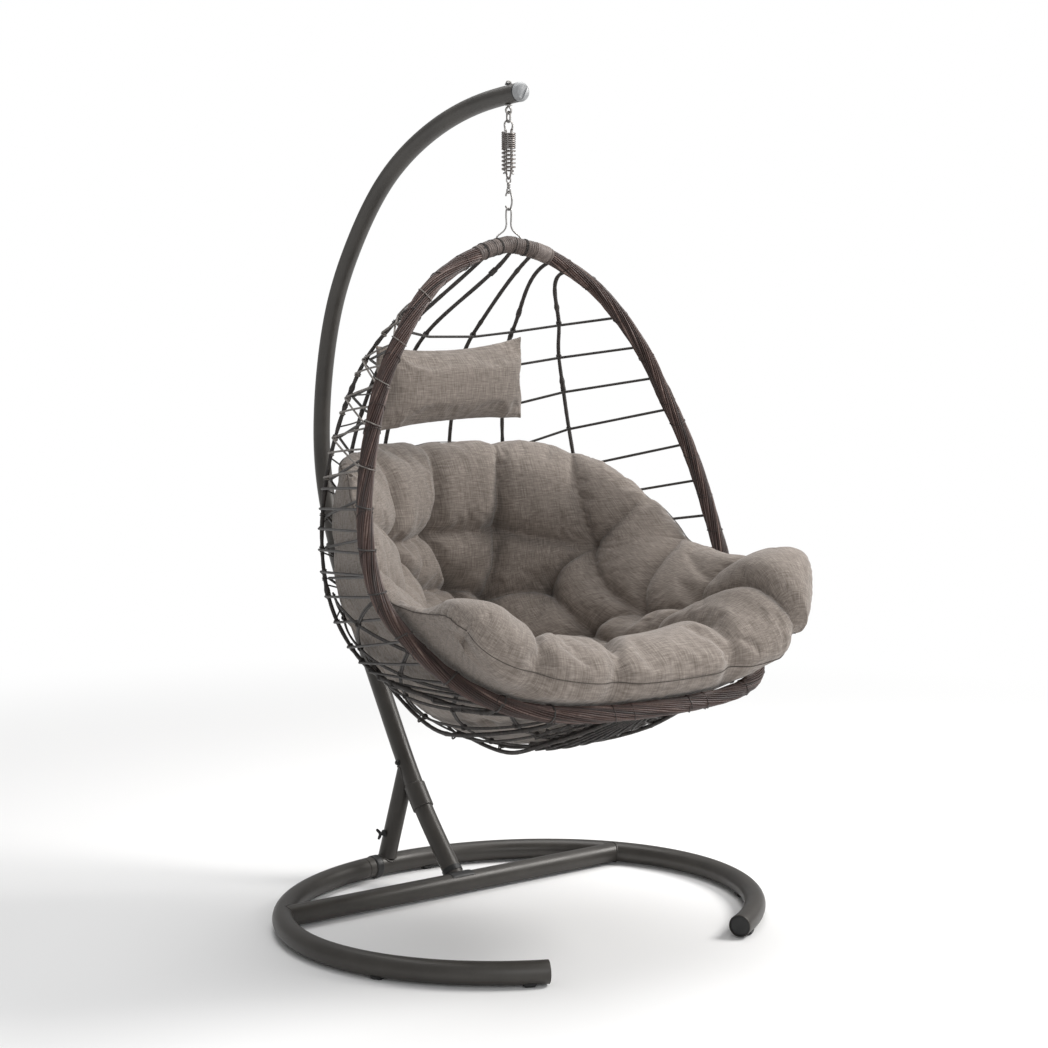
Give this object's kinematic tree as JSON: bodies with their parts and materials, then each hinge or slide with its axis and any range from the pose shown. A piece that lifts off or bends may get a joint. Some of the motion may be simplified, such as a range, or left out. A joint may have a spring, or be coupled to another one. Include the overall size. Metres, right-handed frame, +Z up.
{
  "type": "hanging egg chair",
  "caption": "Hanging egg chair: an open wicker basket with a tufted seat pad and head pillow, hung from a sprung hanger on a bent tubular stand.",
  "frame": {"origin": "on the floor, under the middle of the whole chair's box", "axes": "+Z up, the sitter faces -Y, +X is the viewer's right when looking along +Y"},
  "size_m": [1.2014, 1.4031, 1.9484],
  "materials": {
    "powder_coat": "satin",
    "black_plastic": "matte",
    "grey_cap": "satin",
    "zinc": "satin",
    "wicker": "satin",
    "sleeve_tape": "matte",
    "rib_wrap": "satin",
    "cord": "matte",
    "net": "matte",
    "fabric": "matte"
  },
  "bodies": {
    "stand": {"base_arc_left": "powder_coat", "base_arc_right": "powder_coat", "base_rear_tee": "powder_coat", "base_crossbar": "powder_coat", "base_end_plug_left": "black_plastic", "base_end_plug_right": "black_plastic", "glide_front_left": "black_plastic", "glide_front_right": "black_plastic", "glide_side_left": "black_plastic", "glide_side_right": "black_plastic", "glide_rear_right": "black_plastic", "glide_rear_clip": "black_plastic", "pole_foot_tube": "powder_coat", "pole_foot_gasket": "black_plastic", "pole_middle_tube": "powder_coat", "pole_collar": "powder_coat", "pole_joint_sleeve": "powder_coat", "pole_arch": "powder_coat", "arch_end_cap": "grey_cap", "rear_leg": "powder_coat", "pole_bolt": "black_plastic", "eye_bolt": "zinc", "eye_bolt_lower_washer": "zinc", "eye_bolt_upper_washer": "black_plastic", "dome_nut": "zinc"},
    "wing_screw": {"wing_bolt": "black_plastic"},
    "link": {"eye_link": "zinc"},
    "upper_bar": {"upper_drawbar": "zinc", "tension_spring": "zinc"},
    "lower_bar": {"lower_drawbar": "zinc", "swivel_eye": "zinc"},
    "hook": {"swivel_link": "zinc", "carrier_hook": "zinc"},
    "basket": {"basket_yoke": "zinc", "rim_tube": "powder_coat", "rim_wicker": "wicker", "rim_top_sleeve": "sleeve_tape", "rib_1": "rib_wrap", "rib_2": "rib_wrap", "rib_3": "rib_wrap", "rib_4": "rib_wrap", "rib_5": "rib_wrap", "rib_6": "rib_wrap", "lacing_cord_1": "cord", "lacing_cord_2": "cord", "lacing_cord_3": "cord", "lacing_cord_4": "cord", "lacing_cord_5": "cord", "lacing_cord_6": "cord", "lacing_cord_7": "cord", "lacing_cord_8": "cord", "seat_net": "net", "seat_cushion": "fabric", "head_pillow": "fabric"}
  },
  "joints": [
    {"name": "fore_aft_swing", "type": "hinge", "parent": "stand", "child": "link", "pos_m": [0, -0.1315, 1.8723], "axis": [1, 0, 0], "range_deg": [-14, 8]},
    {"name": "sideways_swing", "type": "hinge", "parent": "link", "child": "upper_bar", "pos_m": [0, -0.1315, 1.853], "axis": [0, 1, 0], "range_deg": [-12, 12]},
    {"name": "spring_stretch", "type": "slide", "parent": "upper_bar", "child": "lower_bar", "axis": [0, 0, -1], "range_m": [0, 0.03], "stiffness_N_per_m": 25000, "springref_m": -0.03, "deforming": ["tension_spring"]},
    {"name": "basket_swivel", "type": "hinge", "parent": "lower_bar", "child": "hook", "pos_m": [0, -0.1315, 1.708], "axis": [0, 0, 1], "range_deg": [-90, 90]},
    {"name": "basket_tilt", "type": "hinge", "parent": "hook", "child": "basket", "pos_m": [0, -0.1315, 1.653], "axis": [0, 1, 0], "range_deg": [-5, 5]},
    {"name": "wing_screw_turn", "type": "hinge", "parent": "stand", "child": "wing_screw", "pos_m": [-0.0283, 0.317, 0.112], "axis": [1, 0, 0], "continuous": true}
  ]
}
